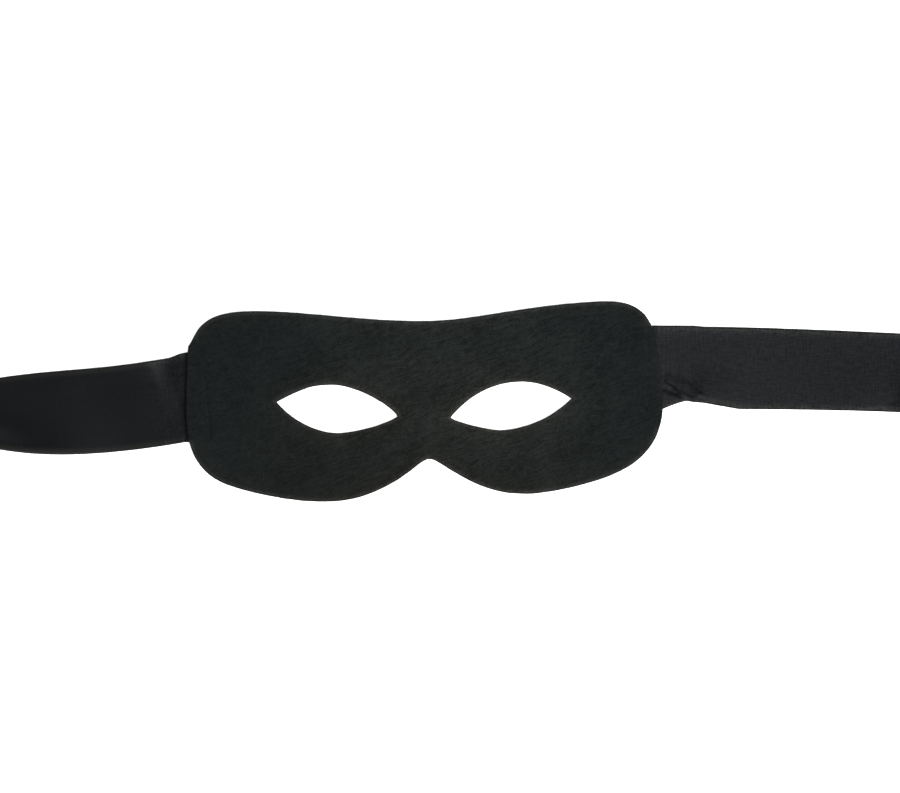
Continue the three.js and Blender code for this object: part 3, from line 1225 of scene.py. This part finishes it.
@dataclass
class Tie:
    """One woven tie: flat by the felt, then leaning up on its brow edge, then in a loose roll.

    Attributes:
        name: The piece's name.
        node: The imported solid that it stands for.
        side: The side it is sewn to.
        root: Where its middle line starts, under the felt.
        heading: The way it runs from there, in degrees.
        bend_radius: The radius of its slight clockwise bend.
        lean: Where along it the cheek edge starts to lift and stands upright.
        roll_start: Where it starts to roll up.
        roll_radius: The roll's first radius.
        seed: Tells its small unevenness from the other tie's.
        width: Its width.
        narrowing: How much narrower it has become where it leaves the flat.
        narrows: Where along it that happens.
        flare: How much wider it is at the felt, and where along it that starts and ends its fading.
        ragged: How far its edges stray, and over what length.
        puff: How high it stands just outside the felt, and how far out that lasts.
        gap: Where it rises from under the felt, as distances beyond the felt's edge.
        tuck: Where the cheek edge is drawn in most, how far, and how far that reaches back and on.
        tuck_curve: How roundly it starts, as a power.
        folds: Its folds near the felt.
        swell: How high its soft swellings are, and how long.
        crimps: How deep the fine crimps beside the felt are, how far apart, how straight they run
            across it as a share of that, and how far out they last.
        steepness: The least share of its slope, at the brow edge, and how much more the cheek edge
            has.
        steepening: Where across it, as shares, the one gives way to the other.
        rolled_edge: Where along it the cheek edge starts to turn flat, how much broader the flat
            strip gets with each millimetre, and how flat it is, as a share.
        strip_fade: How gradually that strip ends, as a share of the width.
        evening: How far before it stands upright its slope starts to even out, and is even.
        steepest: The largest factor tried for a section's slope.
        halvings: How often the search for that factor halves its range.
        wander: How far the slope strays, in radians, and over what length.
        sway: How far a standing stretch strays sideways, and over what length.
        length: Its length.
        thickness: Its thickness.
        roll_pitch: How much nearer the roll's middle each turn lies.
        roll_lead_in: Over what length the roll gains its curve.
        columns: The faces across it.
        sections: From where along it the sections stand how far apart.
        route_step: The step in which its line is followed.
    """

    name: str
    node: str
    side: Side
    root: Pair
    heading: float
    bend_radius: float
    lean: Pair
    roll_start: float
    roll_radius: float
    seed: float
    width: float
    narrowing: float = 0.0
    narrows: Pair = (15.0, 110.0)
    flare: tuple[float, float, float] = (0.0, 13.0, 19.0)
    ragged: Pair = (0.12, 5.0)
    puff: Pair = (1.0, 10.0)
    gap: Pair = (0.0, 1.0)
    tuck: tuple[float, float, float, float] = (0.0, 0.0, 1.0, 1.0)
    tuck_curve: float = 1.3
    folds: tuple[Fold, ...] = ()
    swell: Pair = (0.16, 21.0)
    crimps: tuple[float, float, float, float] = (0.05, 0.9, 0.12, 6.0)
    steepness: Pair = (0.3, 1.1)
    steepening: Pair = (0.25, 0.95)
    rolled_edge: tuple[float, float, float] = (0.0, 1.0, 0.0)
    strip_fade: float = 0.06
    evening: Pair = (50.0, 15.0)
    steepest: float = 3.0
    halvings: int = 24
    wander: Pair = (0.07, 34.0)
    sway: Pair = (0.45, 17.0)
    length: float = 360.0
    thickness: float = 0.7
    roll_pitch: float = 7.5
    roll_lead_in: float = 30.0
    columns: int = 84
    sections: tuple[Pair, ...] = ((0.0, 1.0), (12.0, 0.3), (42.0, 1.2))
    route_step: float = 0.5

    def curvature(self, along: float) -> float:
        """How sharply the tie turns.

        Args:
            along: The place along it.

        Returns:
            Its curvature there, in radians per millimetre.
        """
        wound = max(0.0, along - self.roll_start)
        radius = math.sqrt(self.roll_radius**2 - self.roll_pitch * wound / math.pi)
        share = float(smoothstep(wound, 0.0, self.roll_lead_in))
        return (1.0 - share) / self.bend_radius + share / radius

    def route(self) -> tuple[np.ndarray, np.ndarray]:
        """Follows the tie's line on the table.

        Returns:
            The places along it, and for each one its x, y and heading.
        """
        count = round(self.length / self.route_step)
        x, y = self.root
        heading = math.radians(self.heading)
        rows = []
        for i in range(count + 1):
            rows.append((x, y, heading))
            heading -= self.curvature((i + 0.5) * self.route_step) * self.route_step
            x += self.route_step * math.cos(heading)
            y += self.route_step * math.sin(heading)
        return np.arange(count + 1) * self.route_step, np.array(rows)

    def stations(self) -> np.ndarray:
        """Sets out the sections: close together by the felt, and wider apart further on.

        Returns:
            Where they stand along the tie.
        """
        starts, steps = zip(*self.sections)
        runs = [
            np.linspace(start, end, round((end - start) / step), endpoint=False)
            for start, end, step in zip(starts, (*starts[1:], self.length), steps)
        ]
        return np.concatenate((*runs, [self.length]))

    def slope(self, along: np.ndarray, share: np.ndarray) -> np.ndarray:
        """How steeply the cloth rises towards its cheek edge, in radians.

        The slope is least by the brow edge, and again in a strip along the cheek edge, but each section
        covers as much of the table as if its slope were even.

        Args:
            along: Places along the tie, as a column.
            share: Places across it, from 0 at the brow edge to 1 at the cheek edge, as a row.

        Returns:
            The slope at each place.
        """
        even = 0.5 * math.pi * smoothstep(along, *self.lean)
        start, breadth_gain, flatness = self.rolled_edge
        inner = 1.0 - breadth_gain * np.maximum(along - start, 0.0) / self.width
        strip = flatness * smoothstep(share, inner - self.strip_fade, inner + self.strip_fade)
        least, gain = self.steepness
        weight = (least + gain * smoothstep(share, *self.steepening)) * (1.0 - strip)
        upright = smoothstep(along, *(self.lean[1] - before for before in self.evening))
        weight = (1.0 - upright) * weight + upright
        low, high = np.zeros_like(even), np.full_like(even, self.steepest)
        for _ in range(self.halvings):
            factor = 0.5 * (low + high)
            slope = np.minimum(factor * weight * even, 0.5 * math.pi)
            covered = np.cos(slope).mean(axis=1, keepdims=True)
            low = np.where(covered > np.cos(even), factor, low)
            high = np.where(covered > np.cos(even), high, factor)
        stray, length = self.wander
        wander = stray * ripple(along, along * 0.0, length, self.seed)
        return slope + wander * smoothstep(along, self.lean[0], self.length)

    def relief(self, x: np.ndarray, y: np.ndarray, felt: FeltMask) -> np.ndarray:
        """How far the flat part of the tie stands off the table in soft swellings and folds.

        Args:
            x: First coordinates.
            y: Second coordinates.
            felt: The felt that it comes out from under.

        Returns:
            The height at each place.
        """
        beyond = felt.beyond(x, y, self.side)
        height, reach = self.puff
        swell, length = self.swell
        lift = swell * (1.0 + ripple(x, y, length, self.seed + 2.0))
        lift = lift + height * np.exp(-np.maximum(beyond, 0.0) / reach)
        for fold in self.folds:
            lift = lift + fold.lift(x, y)
        crimp, spacing, run, crimp_reach = self.crimps
        near = np.exp(-np.maximum(beyond, 0.0) / crimp_reach)
        lift = lift + crimp * near * ripple(x, run * y, spacing, self.seed + 8.0)
        return np.maximum(lift, 0.0) * smoothstep(beyond, *self.gap)

    def drawn_in(self, along: np.ndarray) -> np.ndarray:
        """How far the cheek edge is drawn in.

        Args:
            along: Places along the tie.

        Returns:
            The distance at each place.
        """
        at, depth, before, after = self.tuck
        back = 1.0 - np.clip((at - along) / before, 0.0, 1.0) ** self.tuck_curve
        on = 1.0 - np.clip((along - at) / after, 0.0, 1.0)
        return depth * np.where(along < at, back, on)

    def widths(self, along: np.ndarray) -> np.ndarray:
        """The tie's width.

        Args:
            along: Places along the tie.

        Returns:
            The width at each place.
        """
        flare, start, end = self.flare
        stray, length = self.ragged
        ragged = stray * ripple(along, along * 0.0, length, self.seed + 4.0)
        flared = flare * (1.0 - smoothstep(along, start, end))
        return self.width - self.narrowing * smoothstep(along, *self.narrows) + ragged + flared

    def surface(self, felt: FeltMask) -> tuple[np.ndarray, np.ndarray, np.ndarray]:
        """The cloth's middle surface.

        Args:
            felt: The felt that it comes out from under.

        Returns:
            Its points in rows along the tie, the places along it, and how far across each point lies.
        """
        along = self.stations()[:, None]
        knots, rows = self.route()
        x, y, heading = (np.interp(along, knots, column) for column in rows.T)
        share = np.linspace(0.0, 1.0, self.columns + 1)[None, :]
        drawn = self.drawn_in(along)
        width = self.widths(along) - drawn
        slope = self.slope(along, share)
        middle = 0.5 * (slope[:, 1:] + slope[:, :-1])
        step = width / self.columns
        start = np.zeros_like(along)
        out = np.hstack((start, np.cumsum(step * np.cos(middle), axis=1)))
        up = np.hstack((start, np.cumsum(step * np.sin(middle), axis=1)))
        to_brow = self.side.value * (0.5 * (out[:, -1:] + drawn) - out)
        standing = np.sin(slope) ** 2
        sway, length = self.sway
        spots = np.broadcast_arrays(along, self.width * share)
        to_brow = to_brow + sway * standing * ripple(*spots, length, self.seed + 6.0)
        px = x - np.sin(heading) * to_brow
        py = y + np.cos(heading) * to_brow
        pz = 0.5 * self.thickness + up + (1.0 - standing) * self.relief(px, py, felt)
        return np.stack((px, py, pz), axis=2), along[:, 0], width * share

    def build(self, felt: FeltMask) -> Piece:
        """Builds the tie as a closed strip with round edges, and a UV map in metres.

        Args:
            felt: The felt that it comes out from under.

        Returns:
            The tie's piece.
        """
        middle, along, across = self.surface(felt)
        rows, columns = middle.shape[:2]
        over = np.gradient(middle, axis=1)
        over /= np.linalg.norm(over, axis=2)[:, :, None]
        normal = self.side.value * np.cross(over, np.gradient(middle, axis=0))
        normal /= np.linalg.norm(normal, axis=2)[:, :, None]
        half = 0.5 * self.thickness
        brow = middle[:, :1] - half * over[:, :1]
        cheek = middle[:, -1:] + half * over[:, -1:]
        upper, lower = middle + half * normal, middle - half * normal
        section = np.concatenate((brow, upper, cheek, lower[:, ::-1]), axis=1)
        spread = np.hstack((across[:, :1], across, across[:, -1:], across[:, ::-1]))
        ring = section.shape[1]
        faces = []
        for i in range(rows - 1):
            for j in range(ring):
                a, b = i * ring + j, i * ring + (j + 1) % ring
                faces.append((a, b, b + ring, a + ring))
        faces += [tuple(reversed(face)) for face in self.end_faces(0, columns)]
        faces += self.end_faces((rows - 1) * ring, columns)
        if self.side is Side.RIGHT:
            faces = [tuple(reversed(face)) for face in faces]
        mesh = smooth_mesh(self.name, section.reshape(-1, 3), faces)
        places = np.stack((np.repeat(along, ring), spread.ravel()), axis=1) * MM
        corners = np.empty(len(mesh.loops), int)
        mesh.loops.foreach_get("vertex_index", corners)
        mesh.uv_layers.new(name=CLOTH_MAP).data.foreach_set("uv", places[corners].ravel())
        from_edge = np.minimum(spread, spread.max(axis=1, keepdims=True) - spread)
        add_point_values(mesh, EDGE_DISTANCE, from_edge * MM)
        return new_piece(self.name, mesh)

    @staticmethod
    def end_faces(start: int, columns: int) -> list[Face]:
        """Closes one end of the strip.

        Args:
            start: The number of the end section's first vertex.
            columns: The points across the strip.

        Returns:
            The faces.
        """
        ring = 2 * columns + 2
        upper = [start + 1 + j for j in range(columns)]
        lower = [start + ring - 1 - j for j in range(columns)]
        faces = [(start, upper[0], lower[0])]
        faces += [(upper[j], upper[j + 1], lower[j + 1], lower[j]) for j in range(columns - 1)]
        return faces + [(upper[-1], start + columns + 1, lower[-1])]

    def dress(self, piece: Piece, material: Material) -> None:
        """Gives the tie its finish and its place on the frame.

        Args:
            piece: The tie's piece.
            material: Its finish.
        """
        piece.data.materials.append(material)
        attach(piece, BODY)
        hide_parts(self.node)


# What grows on the surfaces


class GrowthTree:
    """A Geometry Nodes tree that grows a plain mesh on the mesh of an object.

    Attributes:
        graph: The tree's graph.
        inputs: The sockets of the tree's named inputs.
    """

    def __init__(self, name: str, inputs: dict[str, str]) -> None:
        """Starts the tree.

        Args:
            name: The tree's name.
            inputs: The named inputs and their socket types, after the geometry.
        """
        tree = bpy.data.node_groups.new(name, "GeometryNodeTree")
        tree.interface.new_socket("Geometry", in_out="INPUT", socket_type="NodeSocketGeometry")
        for label, kind in inputs.items():
            tree.interface.new_socket(label, in_out="INPUT", socket_type=kind)
        tree.interface.new_socket("Material", in_out="INPUT", socket_type="NodeSocketMaterial")
        tree.interface.new_socket("Geometry", in_out="OUTPUT", socket_type="NodeSocketGeometry")
        self.graph = Graph(tree)
        self.inputs = self.graph.add("NodeGroupInput").outputs

    def tube(self, curve: Socket, radius: object, sides: int) -> Socket:
        """A closed tube along a curve.

        Args:
            curve: The curve.
            radius: The tube's radius.
            sides: How many sides it has.

        Returns:
            The tube's mesh.
        """
        circle = {"Resolution": sides, "Radius": radius}
        ring = self.graph.add("GeometryNodeCurvePrimitiveCircle", circle)
        sources = {"Curve": curve, "Profile Curve": ring.outputs[0], "Fill Caps": True}
        return self.graph.add("GeometryNodeCurveToMesh", sources).outputs[0]

    def close(self, instances: Socket) -> None:
        """Ends the tree: the instances made real, smooth and in one material.

        Args:
            instances: What has grown.
        """
        real = self.graph.add("GeometryNodeRealizeInstances", {"Geometry": instances}).outputs[0]
        smooth = self.graph.add("GeometryNodeSetShadeSmooth", {"Geometry": real}).outputs[0]
        sources = {"Geometry": smooth, "Material": self.inputs["Material"]}
        dressed = self.graph.add("GeometryNodeSetMaterial", sources).outputs[0]
        self.graph.add("NodeGroupOutput", {0: dressed})

    def grow(self, name: str, ground: Mesh, values: dict[str, object]) -> Piece:
        """Grows one piece.

        Args:
            name: The piece's name.
            ground: The mesh that the tree starts from.
            values: The tree's inputs by name.

        Returns:
            The piece, a plain mesh with no modifier left on it.
        """
        piece = new_piece(name, ground)
        modifier = piece.modifiers.new("grow", "NODES")
        modifier.node_group = self.graph.tree
        for item in self.graph.tree.interface.items_tree:
            if item.item_type == "SOCKET" and item.in_out == "INPUT" and item.name in values:
                modifier[item.identifier] = values[item.name]
        evaluated = piece.evaluated_get(bpy.context.evaluated_depsgraph_get())
        result = bpy.data.meshes.new_from_object(evaluated)
        piece.modifiers.remove(modifier)
        piece.data = result
        result.name = name
        return piece


def stitch_tree() -> GrowthTree:
    """The tree that sews a row of stitches along a path.

    Returns:
        A tree with the inputs Pitch, Stitch, Radius, Crown and Seed.
    """
    tree = GrowthTree("stitch_row", {
        "Pitch": "NodeSocketFloat",
        "Stitch": "NodeSocketFloat",
        "Radius": "NodeSocketFloat",
        "Crown": "NodeSocketFloat",
        "Seed": "NodeSocketInt",
    })
    graph, inputs = tree.graph, tree.inputs
    sunk_radii = 2.5
    steps = 8
    sides = 8
    most_dip = 0.05
    most_turn = 0.09
    sunk = graph.math("MULTIPLY", inputs["Radius"], -sunk_radii)
    ends = []
    for half in (-0.5, 0.5):
        aside = graph.math("MULTIPLY", inputs["Stitch"], half)
        ends.append(graph.add("ShaderNodeCombineXYZ", {"X": aside, "Z": sunk}).outputs[0])
    crown = graph.add("ShaderNodeCombineXYZ", {"Z": inputs["Crown"]}).outputs[0]
    arc = graph.add("GeometryNodeCurveQuadraticBezier", {
        "Resolution": steps,
        "Start": ends[0],
        "Middle": crown,
        "End": ends[1],
    }).outputs[0]
    stitch = tree.tube(arc, inputs["Radius"], sides)
    path = graph.add("GeometryNodeMeshToCurve", {"Mesh": inputs["Geometry"]}).outputs[0]
    sources = {"Curve": path, "Length": inputs["Pitch"]}
    places = graph.add("GeometryNodeCurveToPoints", sources, mode="LENGTH").outputs
    sources = {"Vector": places["Tangent"]}
    aligned = graph.add("FunctionNodeAlignRotationToVector", sources, axis="X").outputs[0]
    turn = graph.add("FunctionNodeRandomValue", {
        "Min": (0.0, -most_dip, -most_turn),
        "Max": (0.0, most_dip, most_turn),
        "Seed": inputs["Seed"],
    }, data_type="FLOAT_VECTOR").outputs[0]
    wandered = graph.add("FunctionNodeRotateRotation", {
        "Rotation": aligned,
        "Rotate By": turn,
    }, rotation_space="LOCAL").outputs[0]
    tree.close(graph.add("GeometryNodeInstanceOnPoints", {
        "Points": places["Points"],
        "Instance": stitch,
        "Rotation": wandered,
    }).outputs[0])
    return tree


@dataclass
class StitchRow:
    """A row of lockstitches through the felt and a tie.

    Attributes:
        name: The piece's name.
        start: Where the row starts, at the brow.
        end: Where it ends, at the cheek.
        seed: Fixes how the stitches stray.
        pitch: How far apart the stitches are.
        stitch: How long one is.
        radius: The thread's radius.
        crown: How high the middle of a stitch is drawn, to which it rises halfway.
        path_points: The points of the row's path, which follows the felt's face.
    """

    name: str
    start: Pair
    end: Pair
    seed: int
    pitch: float = 3.1
    stitch: float = 2.35
    radius: float = 0.2
    crown: float = 0.42
    path_points: int = 60

    def build(self, felt: FeltMask, tree: GrowthTree, material: Material) -> Piece:
        """Sews the row on the felt's face.

        Args:
            felt: The felt, for the height of its face.
            tree: The stitch tree.
            material: The thread's finish.

        Returns:
            The row of stitches as one mesh.
        """
        share = np.linspace(0.0, 1.0, self.path_points)
        x = self.start[0] + share * (self.end[0] - self.start[0])
        y = self.start[1] + share * (self.end[1] - self.start[1])
        points = np.column_stack((x, y, felt.face(x, y)))
        edges = [(i, i + 1) for i in range(len(points) - 1)]
        path = bpy.data.meshes.new(self.name)
        path.from_pydata((points * MM).tolist(), edges, [])
        return tree.grow(self.name, path, {
            "Pitch": self.pitch * MM,
            "Stitch": self.stitch * MM,
            "Radius": self.radius * MM,
            "Crown": self.crown * MM,
            "Seed": self.seed,
            "Material": material,
        })

    def dress(self, piece: Piece) -> None:
        """Puts the row on the frame."""
        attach(piece, BODY)


@dataclass
class FeltNap:
    """The loose fibres that lie on the felt's face.

    Attributes:
        name: The piece's name.
        density: Fibres to a square centimetre.
        length: The shortest and the longest fibre.
        radius: A fibre's radius.
        lay: The direction that most fibres run in, in degrees.
        stray: How far a fibre's direction may differ, in degrees.
        stray_shares: The shares of the two draws that it is mixed from, so that wide turns are rare.
        level: How level a face must be to bear fibres, as its normal's Z.
        rarity: How rare pale fibres are, as a power.
        shapes: How many different bends there are.
        sag: How far a bend goes to either side, as a share of the fibre's length.
        heights: How high a fibre's ends and its curve's handles lie, as shares of its length.
        steps: The stretches that its curve is made of.
        sides: The sides of its tube.
        seed: Fixes every random choice.
    """

    name: str = "felt_nap"
    density: float = 24.0
    length: Pair = (0.9, 3.4)
    radius: float = 0.04
    lay: float = 17.0
    stray: float = 70.0
    stray_shares: Pair = (0.6, 0.4)
    level: float = 0.97
    rarity: float = 3.0
    shapes: int = 6
    sag: float = 0.22
    heights: Pair = (-0.01, 0.03)
    steps: int = 7
    sides: int = 3
    seed: int = 7

    def tree(self) -> GrowthTree:
        """The tree that strews bent fibres over the faces that look up.

        Returns:
            A tree with the inputs Density, Shortest, Longest, Radius, Lay, Stray and Seed.
        """
        tree = GrowthTree("felt_nap", {
            "Density": "NodeSocketFloat",
            "Shortest": "NodeSocketFloat",
            "Longest": "NodeSocketFloat",
            "Radius": "NodeSocketFloat",
            "Lay": "NodeSocketFloat",
            "Stray": "NodeSocketFloat",
            "Seed": "NodeSocketInt",
        })
        graph, inputs = tree.graph, tree.inputs
        normal = graph.add("GeometryNodeInputNormal").outputs[0]
        upward = graph.add("ShaderNodeSeparateXYZ", {0: normal}).outputs["Z"]
        level = graph.add("FunctionNodeCompare", {
            0: upward,
            1: self.level,
        }, operation="GREATER_THAN").outputs[0]
        strewn = graph.add("GeometryNodeDistributePointsOnFaces", {
            "Mesh": inputs["Geometry"],
            "Selection": level,
            "Density": inputs["Density"],
            "Seed": inputs["Seed"],
        }).outputs
        lengths = self.draw(graph, inputs["Shortest"], inputs["Longest"], 1)
        swings = [self.draw(graph, -1.0, 1.0, seed) for seed in (2, 3)]
        swing = graph.mixture(*zip(swings, self.stray_shares))
        angle = graph.math("ADD", inputs["Lay"], graph.math("MULTIPLY", swing, inputs["Stray"]))
        spin = graph.add("ShaderNodeCombineXYZ", {"Z": angle}).outputs[0]
        turned = graph.add("FunctionNodeRotateRotation", {
            "Rotation": strewn["Rotation"],
            "Rotate By": spin,
        }, rotation_space="GLOBAL").outputs[0]
        scale = graph.add("ShaderNodeCombineXYZ", dict.fromkeys("XYZ", lengths)).outputs[0]
        placed = graph.add("GeometryNodeInstanceOnPoints", {
            "Points": strewn["Points"],
            "Instance": self.bends(tree),
            "Pick Instance": True,
            "Rotation": turned,
            "Scale": scale,
        }).outputs[0]
        pale = graph.math("POWER", self.draw(graph, 0.0, 1.0, 4), self.rarity)
        marked = graph.add("GeometryNodeStoreNamedAttribute", {
            "Geometry": placed,
            "Name": PALENESS,
            "Value": pale,
        }, data_type="FLOAT", domain="INSTANCE").outputs[0]
        tree.close(marked)
        return tree

    @staticmethod
    def draw(graph: Graph, low: object, high: object, seed: int) -> Socket:
        """A random number for each point or instance."""
        node = graph.add("FunctionNodeRandomValue", {2: low, 3: high, "Seed": seed}, data_type="FLOAT")
        return node.outputs[1]

    def bends(self, tree: GrowthTree) -> Socket:
        """The fibres to pick from, each one unit long and bent its own way.

        Args:
            tree: The tree that they are made in.

        Returns:
            The fibres as instances.
        """
        graph = tree.graph
        choice = random.Random(self.seed)
        slender = graph.math("DIVIDE", tree.inputs["Radius"], tree.inputs["Longest"])
        gathered = graph.add("GeometryNodeGeometryToInstance")
        at_ends, at_handles = self.heights
        for _ in range(self.shapes):
            sag = [choice.uniform(-self.sag, self.sag) for _ in range(2)]
            curve = graph.add("GeometryNodeCurvePrimitiveBezierSegment", {
                "Resolution": self.steps,
                "Start": (-0.5, 0.0, at_ends),
                "Start Handle": (-0.2, sag[0], at_handles),
                "End Handle": (0.2, sag[1], at_handles),
                "End": (0.5, 0.0, at_ends),
            }).outputs[0]
            graph.tree.links.new(tree.tube(curve, slender, self.sides), gathered.inputs[0])
        return gathered.outputs[0]

    def build(self, felt: Piece, material: Material) -> Piece:
        """Strews the fibres on the felt.

        Args:
            felt: The felt's piece.
            material: The fibres' finish.

        Returns:
            All fibres as one mesh.
        """
        square_centimetres_in_metre = 1e4
        return self.tree().grow(self.name, felt.data.copy(), {
            "Density": self.density * square_centimetres_in_metre,
            "Shortest": self.length[0] * MM,
            "Longest": self.length[1] * MM,
            "Radius": self.radius * MM,
            "Lay": math.radians(self.lay),
            "Stray": math.radians(self.stray),
            "Seed": self.seed,
            "Material": material,
        })

    def dress(self, piece: Piece) -> None:
        """Puts the fibres on the frame."""
        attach(piece, BODY)


# The studio


@dataclass
class Studio:
    """A pale table, soft light and a camera that looks straight down on the mask.

    The frame has the photograph's width, and its middle shows a point just beside the felt's middle.

    Attributes:
        pixel: The width of a pixel on the felt's face.
        frame_width: The frame's width in pixels.
        aim: The point under the camera.
        roll: How far the camera is turned about its own axis, in degrees.
        lens: The lens's focal length.
        sensor: The sensor's width.
        face_height: The height of the felt's face over the table.
        table_size: The side of the square table, in metres.
        table_height: The height of its top, just under the mask.
        room_light: The strength of the even light.
    """

    pixel: float = 0.37935
    frame_width: int = 900
    aim: Pair = (9.44, 1.63)
    roll: float = -1.6
    lens: float = 100.0
    sensor: float = 36.0
    face_height: float = 2.2
    table_size: float = 8.0
    table_height: float = -0.02
    room_light: float = 0.5

    def camera(self) -> None:
        """Makes the camera, as far off as gives the photograph's scale at the felt's face."""
        data = bpy.data.cameras.new("camera")
        data.lens = self.lens
        data.sensor_width = self.sensor
        data.clip_end = 50.0
        distance = self.lens * self.pixel * self.frame_width / self.sensor
        eye = bpy.data.objects.new("camera", data)
        eye.location = (self.aim[0] * MM, self.aim[1] * MM, (distance + self.face_height) * MM)
        eye.rotation_euler = (0.0, 0.0, math.radians(self.roll))
        bpy.context.scene.collection.objects.link(eye)
        bpy.context.scene.camera = eye

    @staticmethod
    def softbox(name: str, place: tuple[float, float, float], size: Pair, watts: float) -> None:
        """Hangs a soft light aimed at the mask.

        Args:
            name: The light's name.
            place: Where it hangs, in metres.
            size: Its width and height in metres.
            watts: Its power.
        """
        data = bpy.data.lights.new(name, "AREA")
        data.shape = "RECTANGLE"
        data.size, data.size_y = size
        data.energy = watts
        lamp = bpy.data.objects.new(name, data)
        lamp.location = place
        lamp.rotation_euler = (-Vector(place)).to_track_quat("-Z", "Y").to_euler()
        bpy.context.scene.collection.objects.link(lamp)

    def light(self) -> None:
        """Fills the room with even light and hangs the softboxes."""
        world = bpy.data.worlds.new("studio")
        world.use_nodes = True
        background = world.node_tree.nodes["Background"]
        background.inputs["Color"].default_value = WHITE
        background.inputs["Strength"].default_value = self.room_light
        bpy.context.scene.world = world
        self.softbox("key_light", place=(0.50, -0.38, 0.85), size=(0.75, 0.75), watts=19.5)
        self.softbox("fill_light", place=(-0.55, 0.60, 0.90), size=(0.6, 0.6), watts=2.0)

    def table(self, material: Material) -> None:
        """Lays the table just under the mask.

        Args:
            material: The table's finish.
        """
        half = 0.5 * self.table_size / MM
        height = self.table_height
        corners = np.array([
            (-half, -half, height),
            (half, -half, height),
            (half, half, height),
            (-half, half, height),
        ])
        top = new_piece("table", smooth_mesh("table", corners, [(0, 1, 2, 3)]))
        top.data.materials.append(material)

    def build(self) -> None:
        """Makes the whole studio."""
        self.camera()
        self.light()
        self.table(TableFinish().material())
        bpy.context.scene.view_settings.view_transform = "Standard"


def left_tie() -> Tie:
    """The tie on the onlooker's left, with soft ridges beside the felt and along its brow edge.

    Returns:
        The tie.
    """
    return Tie(
        "left_tie_cloth", "left_tie", Side.LEFT, root=(-75.6, 6.7), heading=192.5, bend_radius=300.0,
        lean=(38.0, 154.0), roll_start=126.0, roll_radius=26.0, seed=21.0, width=32.0, narrowing=0.6,
        flare=(1.6, 13.5, 19.5), puff=(0.0, 12.0), gap=(-1.8, -0.3), rolled_edge=(52.0, 0.10, 0.6),
        folds=(
            Fold((-107.2, 24.0), (-96.8, -8.0), 1.15, right=27.0, left=6.8,
                 start_fade=1.0, end_fade=24.0),
            Fold((-92.0, 22.0), (-91.6, 2.0), 0.42, right=8.5, left=40.0,
                 start_fade=1.0, end_fade=9.0),
            Fold((-146.0, 13.9), (-95.5, 19.6), 1.5, right=10.0, left=2.0,
                 start_fade=34.0, end_fade=11.0, flank=Flank.HOLLOW),
        ),
    )


def right_tie() -> Tie:
    """The tie on the onlooker's right, with the tucked folds under the felt's corner.

    Returns:
        The tie.
    """
    return Tie(
        "right_tie_cloth", "right_tie", Side.RIGHT, root=(75.0, 10.6), heading=-1.0, bend_radius=1900.0,
        lean=(100.0, 168.0), roll_start=152.0, roll_radius=25.0, seed=52.0, width=30.8, narrowing=1.4,
        flare=(0.6, 26.0, 32.0), puff=(1.3, 10.0), gap=(-0.8, 0.0), tuck=(24.7, 3.4, 10.0, 20.0),
        folds=(
            Fold((94.6, 7.7), (109.0, -4.9), 0.45, right=4.5, left=2.1, start_fade=7.0, end_fade=1.0),
            Fold((101.5, 3.3), (105.8, -0.1), -0.18, right=0.7, left=0.7, start_fade=2.5, end_fade=1.5),
            Fold((89.6, 6.8), (104.0, -2.4), 0.4, right=1.3, left=4.4, start_fade=3.5, end_fade=1.0),
            Fold((90.2, 5.5), (95.6, 2.1), -0.46, right=4.5, left=0.5, start_fade=0.5, end_fade=2.5),
            Fold((93.0, 3.9), (97.2, -0.6), -0.35, right=2.0, left=0.9, start_fade=2.0, end_fade=2.0),
            Fold((90.0, 3.4), (97.0, -1.2), -0.4, right=2.2, left=0.7, start_fade=1.2, end_fade=3.0),
            Fold((92.2, 2.4), (97.9, -1.6), -0.4, right=0.8, left=0.8, start_fade=3.5, end_fade=1.2),
            Fold((99.5, 0.9), (126.0, -5.3), 0.7, right=3.0, left=12.5, start_fade=6.0, end_fade=18.0),
            Fold((132.0, -6.5), (225.0, -8.0), 1.95, right=4.0, left=29.0,
                 start_fade=40.0, end_fade=20.0),
            Fold((88.0, 26.2), (150.0, 23.5), 0.5, right=6.0, left=2.0,
                 start_fade=1.0, end_fade=50.0, flank=Flank.HOLLOW),
        ),
    )


def report(piece: Piece) -> None:
    """Logs a finished piece's name, faces and size.

    Args:
        piece: The piece.
    """
    low, high = (Vector(corner) for corner in (piece.bound_box[0], piece.bound_box[6]))
    size = " x ".join(f"{side / MM:.1f}" for side in high - low)
    log.info("%s: %d faces, %s mm", piece.name, len(piece.data.polygons), size)


def main() -> None:
    """Builds the studio and the mask's pieces in order."""
    logging.basicConfig(level=logging.INFO, format="%(name)s: %(message)s", stream=sys.stdout)
    Studio().build()

    mask = FeltMask()
    ties = (
        (left_tie(), TieFinish("left_tie_cloth", mottle=(0.9, 0.12), relief=0.06)),
        (right_tie(), TieFinish("right_tie_cloth", mottle=(1.0, 1.0), relief=0.1)),
    )
    for tie, finish in ties:
        piece = tie.build(mask)
        tie.dress(piece, finish.material())
        report(piece)

    felt = mask.build()
    mask.dress(felt, FeltFinish().material())
    report(felt)

    nap = FeltNap()
    piece = nap.build(felt, FibreFinish().material())
    nap.dress(piece)
    report(piece)

    stitches = stitch_tree()
    thread = ThreadFinish().material()
    left, right = mask.seams
    rows = (
        StitchRow("left_stitches", *left, seed=4, radius=0.17, crown=0.36),
        StitchRow("right_stitches", *right, seed=9, radius=0.13, crown=0.26),
    )
    for row in rows:
        piece = row.build(mask, stitches, thread)
        row.dress(piece)
        report(piece)


if __name__ == "__main__":
    main()
